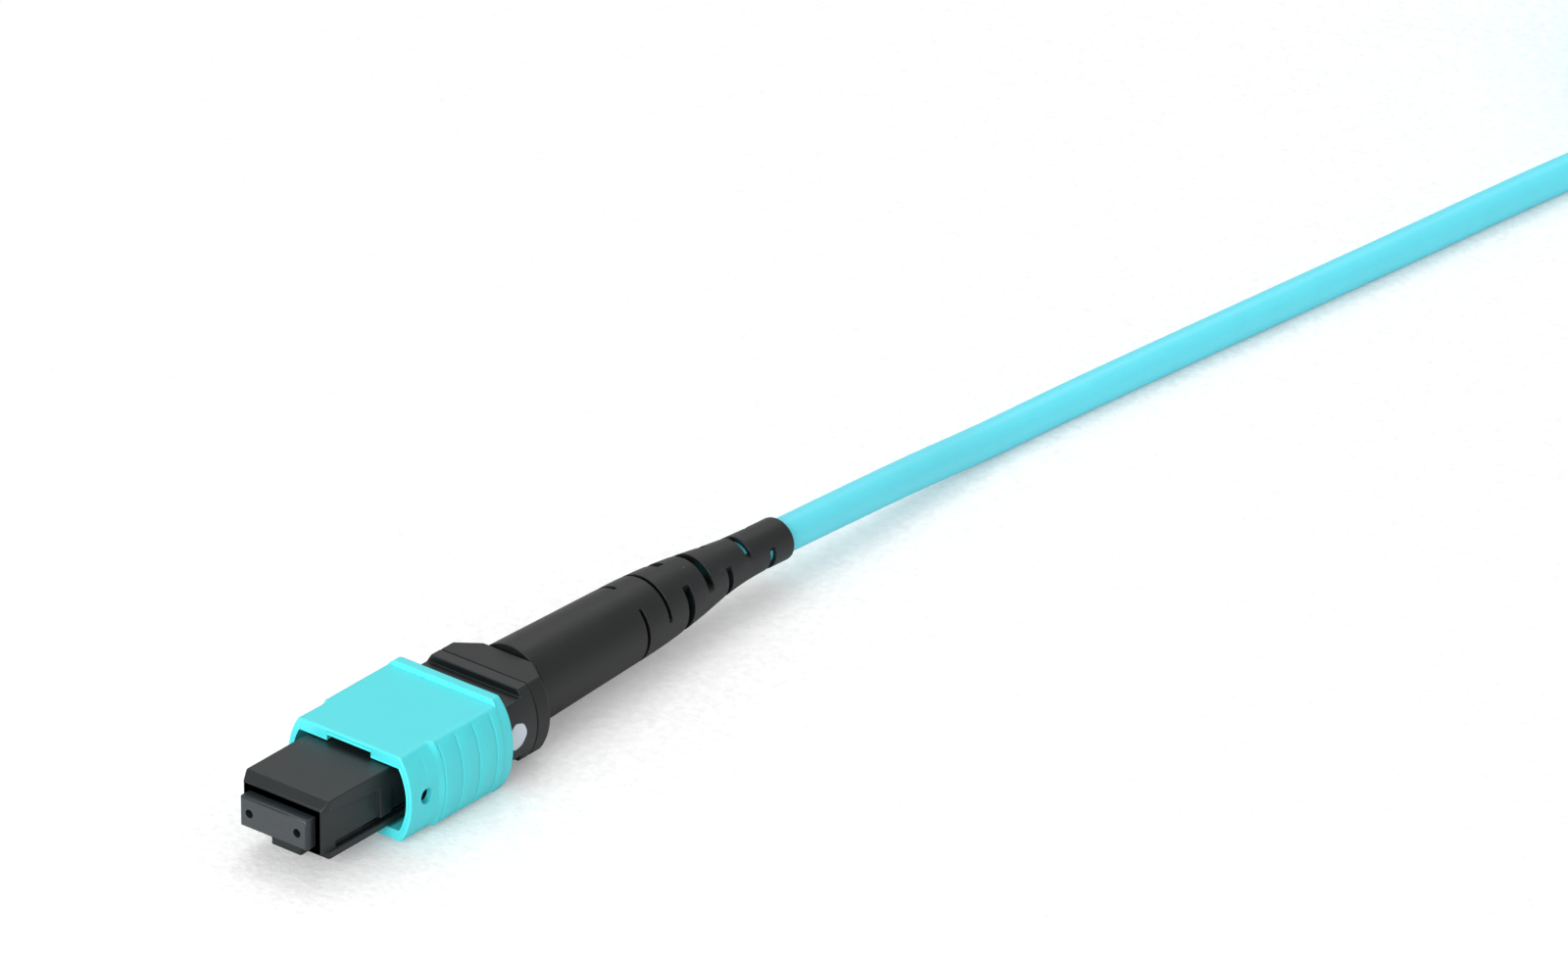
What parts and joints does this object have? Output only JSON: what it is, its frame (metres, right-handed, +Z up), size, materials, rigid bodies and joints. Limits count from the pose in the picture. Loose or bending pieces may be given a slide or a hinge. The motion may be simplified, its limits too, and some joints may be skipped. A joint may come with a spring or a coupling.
{
  "type": "multi-fibre connector plug",
  "caption": "Push-pull multi-fibre plug: rectangular ferrule in a keyed housing, sliding coupling sleeve, slotted strain relief boot and a round cable that ends bare.",
  "frame": {"origin": "centre of the ferrule's end face", "axes": "+Y back along the fibres towards the cable, +Z up away from the key, +X across the width towards the index dot"},
  "size_m": [0.0252, 0.2128, 0.0112],
  "materials": {
    "ferrule_resin": "fine satin moulded resin, polished end face",
    "ribbon_matrix": "smooth translucent ribbon",
    "boot_elastomer": "soft grey rubber",
    "spring_steel": "drawn wire and stamped steel",
    "housing_grey": "fine eroded matte moulding",
    "sleeve_aqua": "fine eroded satin moulding",
    "rear_black": "fine eroded matte moulding",
    "yarn_yellow": "bundled aramid fibres",
    "crimp_nickel": "nickel plated, turned",
    "boot_rubber": "matte moulded rubber",
    "jacket_aqua": "smooth satin cable jacket"
  },
  "bodies": {
    "housing": {"inner_housing": "housing_grey", "rear_body": "rear_black", "aramid_yarn": "yarn_yellow", "crimp_ring": "crimp_nickel", "strain_relief_boot": "boot_rubber", "cable_entry": "jacket_aqua", "cable_tube": "jacket_aqua", "cable_hank": "jacket_aqua", "main_spring": "spring_steel", "return_spring_left": "spring_steel", "return_spring_right": "spring_steel"},
    "sleeve": {"coupling_sleeve": "sleeve_aqua"},
    "ferrule": {"ferrule": "ferrule_resin", "spacer": "spring_steel", "ribbon_boot": "boot_elastomer", "fibre_ribbon": "ribbon_matrix"}
  },
  "joints": [
    {"name": "sleeve_slide", "type": "slide", "parent": "housing", "child": "sleeve", "axis": [0, 1, 0], "range_m": [0, 0.0018], "stiffness_N_per_m": 1500, "deforming": ["return_spring_left", "return_spring_right"]},
    {"name": "ferrule_float", "type": "slide", "parent": "housing", "child": "ferrule", "axis": [0, 1, 0], "range_m": [0, 0.0006], "stiffness_N_per_m": 2500, "deforming": ["main_spring", "fibre_ribbon"]}
  ]
}
